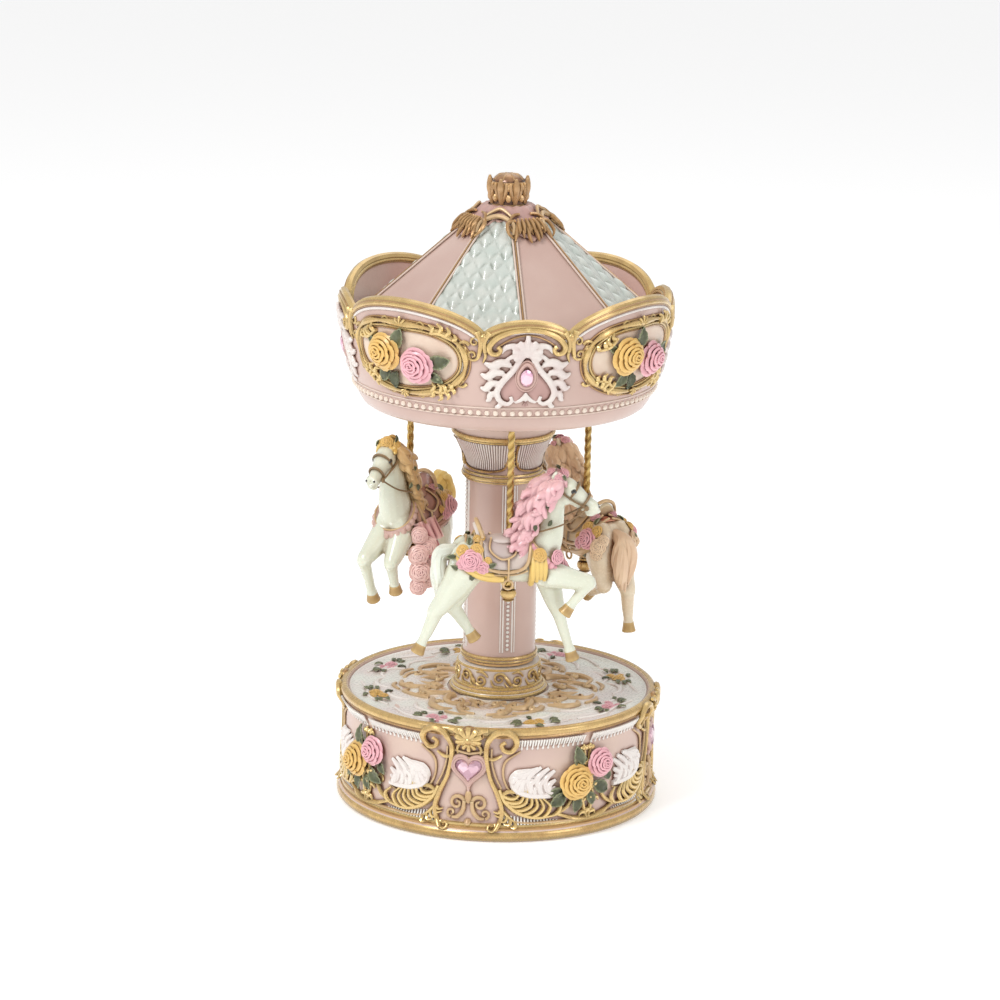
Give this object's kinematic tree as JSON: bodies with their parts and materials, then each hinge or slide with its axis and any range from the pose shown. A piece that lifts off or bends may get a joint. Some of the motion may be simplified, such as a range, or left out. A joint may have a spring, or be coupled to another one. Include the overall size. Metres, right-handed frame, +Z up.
{
  "type": "carousel music box",
  "caption": "Wind-up carousel music box: ornamental round base with movement, turning column and scalloped canopy, and horses that rise and fall on poles.",
  "frame": {"origin": "centre of the base's underside, on the table", "axes": "+Z up along the column, -Y towards the front, +X to the right seen from the front"},
  "size_m": [0.098, 0.098, 0.185],
  "materials": {
    "pink_resin": "hand-painted cast resin, dusty pink with gilt details",
    "white_resin": "hand-painted cast resin, ivory white with soft colours",
    "gilt": "antique gold paint over resin",
    "brass": "turned, lightly polished",
    "steel": "ground and bright",
    "zinc": "cast bedplate, unpainted",
    "moulded": "moulded, slightly glossy",
    "cover": "smooth pale cover",
    "stone": "clear pink cut stone"
  },
  "bodies": {
    "base": {"base_shell": "pink_resin", "column_plinth": "white_resin", "deck_bush": "brass", "thrust_washer": "moulded", "bottom_cover": "cover", "cover_screw_1": "steel", "cover_screw_2": "steel", "cover_screw_3": "steel", "heart_gem_1": "stone", "heart_gem_2": "stone", "heart_gem_3": "stone", "heart_gem_4": "stone", "centre_post": "steel", "lifting_rail": "moulded", "movement_bedplate": "zinc", "bedplate_screw_1": "steel", "bedplate_screw_2": "steel", "bedplate_screw_3": "steel", "comb": "steel", "comb_screw_1": "steel", "comb_screw_2": "steel", "governor_bracket": "brass"},
    "barrel": {"spring_barrel": "brass", "mainspring": "steel"},
    "winder": {"winding_arbor": "steel", "winding_key": "brass"},
    "cylinder": {"pin_cylinder": "brass", "cylinder_arbor": "steel", "worm_wheel": "moulded"},
    "governor": {"governor_fly": "brass"},
    "carousel": {"column": "pink_resin", "drive_sleeve": "brass", "drive_wheel": "brass", "canopy_tray": "pink_resin", "rounding_board": "pink_resin", "canopy_roof": "pink_resin", "roof_collar": "pink_resin", "crown_finial": "gilt", "oval_gem_1": "stone", "oval_gem_2": "stone", "oval_gem_3": "stone", "oval_gem_4": "stone", "pole_bush_1": "brass", "pole_bush_2": "brass", "pole_bush_3": "brass"},
    "rider_1": {"horse_1": "white_resin", "pole_1": "brass", "pole_ball_1": "gilt", "pole_follower_1": "moulded"},
    "rider_2": {"horse_2": "white_resin", "pole_2": "brass", "pole_ball_2": "gilt", "pole_follower_2": "moulded"},
    "rider_3": {"horse_3": "white_resin", "pole_3": "brass", "pole_ball_3": "gilt", "pole_follower_3": "moulded"}
  },
  "joints": [
    {"name": "carousel_spin", "type": "hinge", "parent": "base", "child": "carousel", "pos_m": [0, 0, 0], "axis": [0, 0, 1], "continuous": true},
    {"name": "barrel_spin", "type": "hinge", "parent": "base", "child": "barrel", "pos_m": [-0.0208, 0, 0], "axis": [0, 0, 1], "continuous": true},
    {"name": "cylinder_spin", "type": "hinge", "parent": "base", "child": "cylinder", "pos_m": [-0.0208, 0, 0.0203], "axis": [0.5, 0.866, 0], "continuous": true},
    {"name": "governor_spin", "type": "hinge", "parent": "base", "child": "governor", "pos_m": [-0.01074, 0.03322, 0], "axis": [0, 0, 1], "continuous": true},
    {"name": "winding_key_turn", "type": "hinge", "parent": "base", "child": "winder", "pos_m": [-0.0208, 0, 0], "axis": [0, 0, 1], "continuous": true},
    {"name": "horse_1_rise", "type": "slide", "parent": "carousel", "child": "rider_1", "axis": [0, 0, 1], "range_m": [-0.00409, 0.00211]},
    {"name": "horse_2_rise", "type": "slide", "parent": "carousel", "child": "rider_2", "axis": [0, 0, 1], "range_m": [-0.00006, 0.00614]},
    {"name": "horse_3_rise", "type": "slide", "parent": "carousel", "child": "rider_3", "axis": [0, 0, 1], "range_m": [-0.00515, 0.00105]}
  ],
  "couplings": [
    {"joint": "barrel_spin", "follows": "carousel_spin", "ratio": -1.08},
    {"joint": "cylinder_spin", "follows": "carousel_spin", "ratio": -3.24},
    {"joint": "governor_spin", "follows": "carousel_spin", "ratio": 64.8}
  ]
}
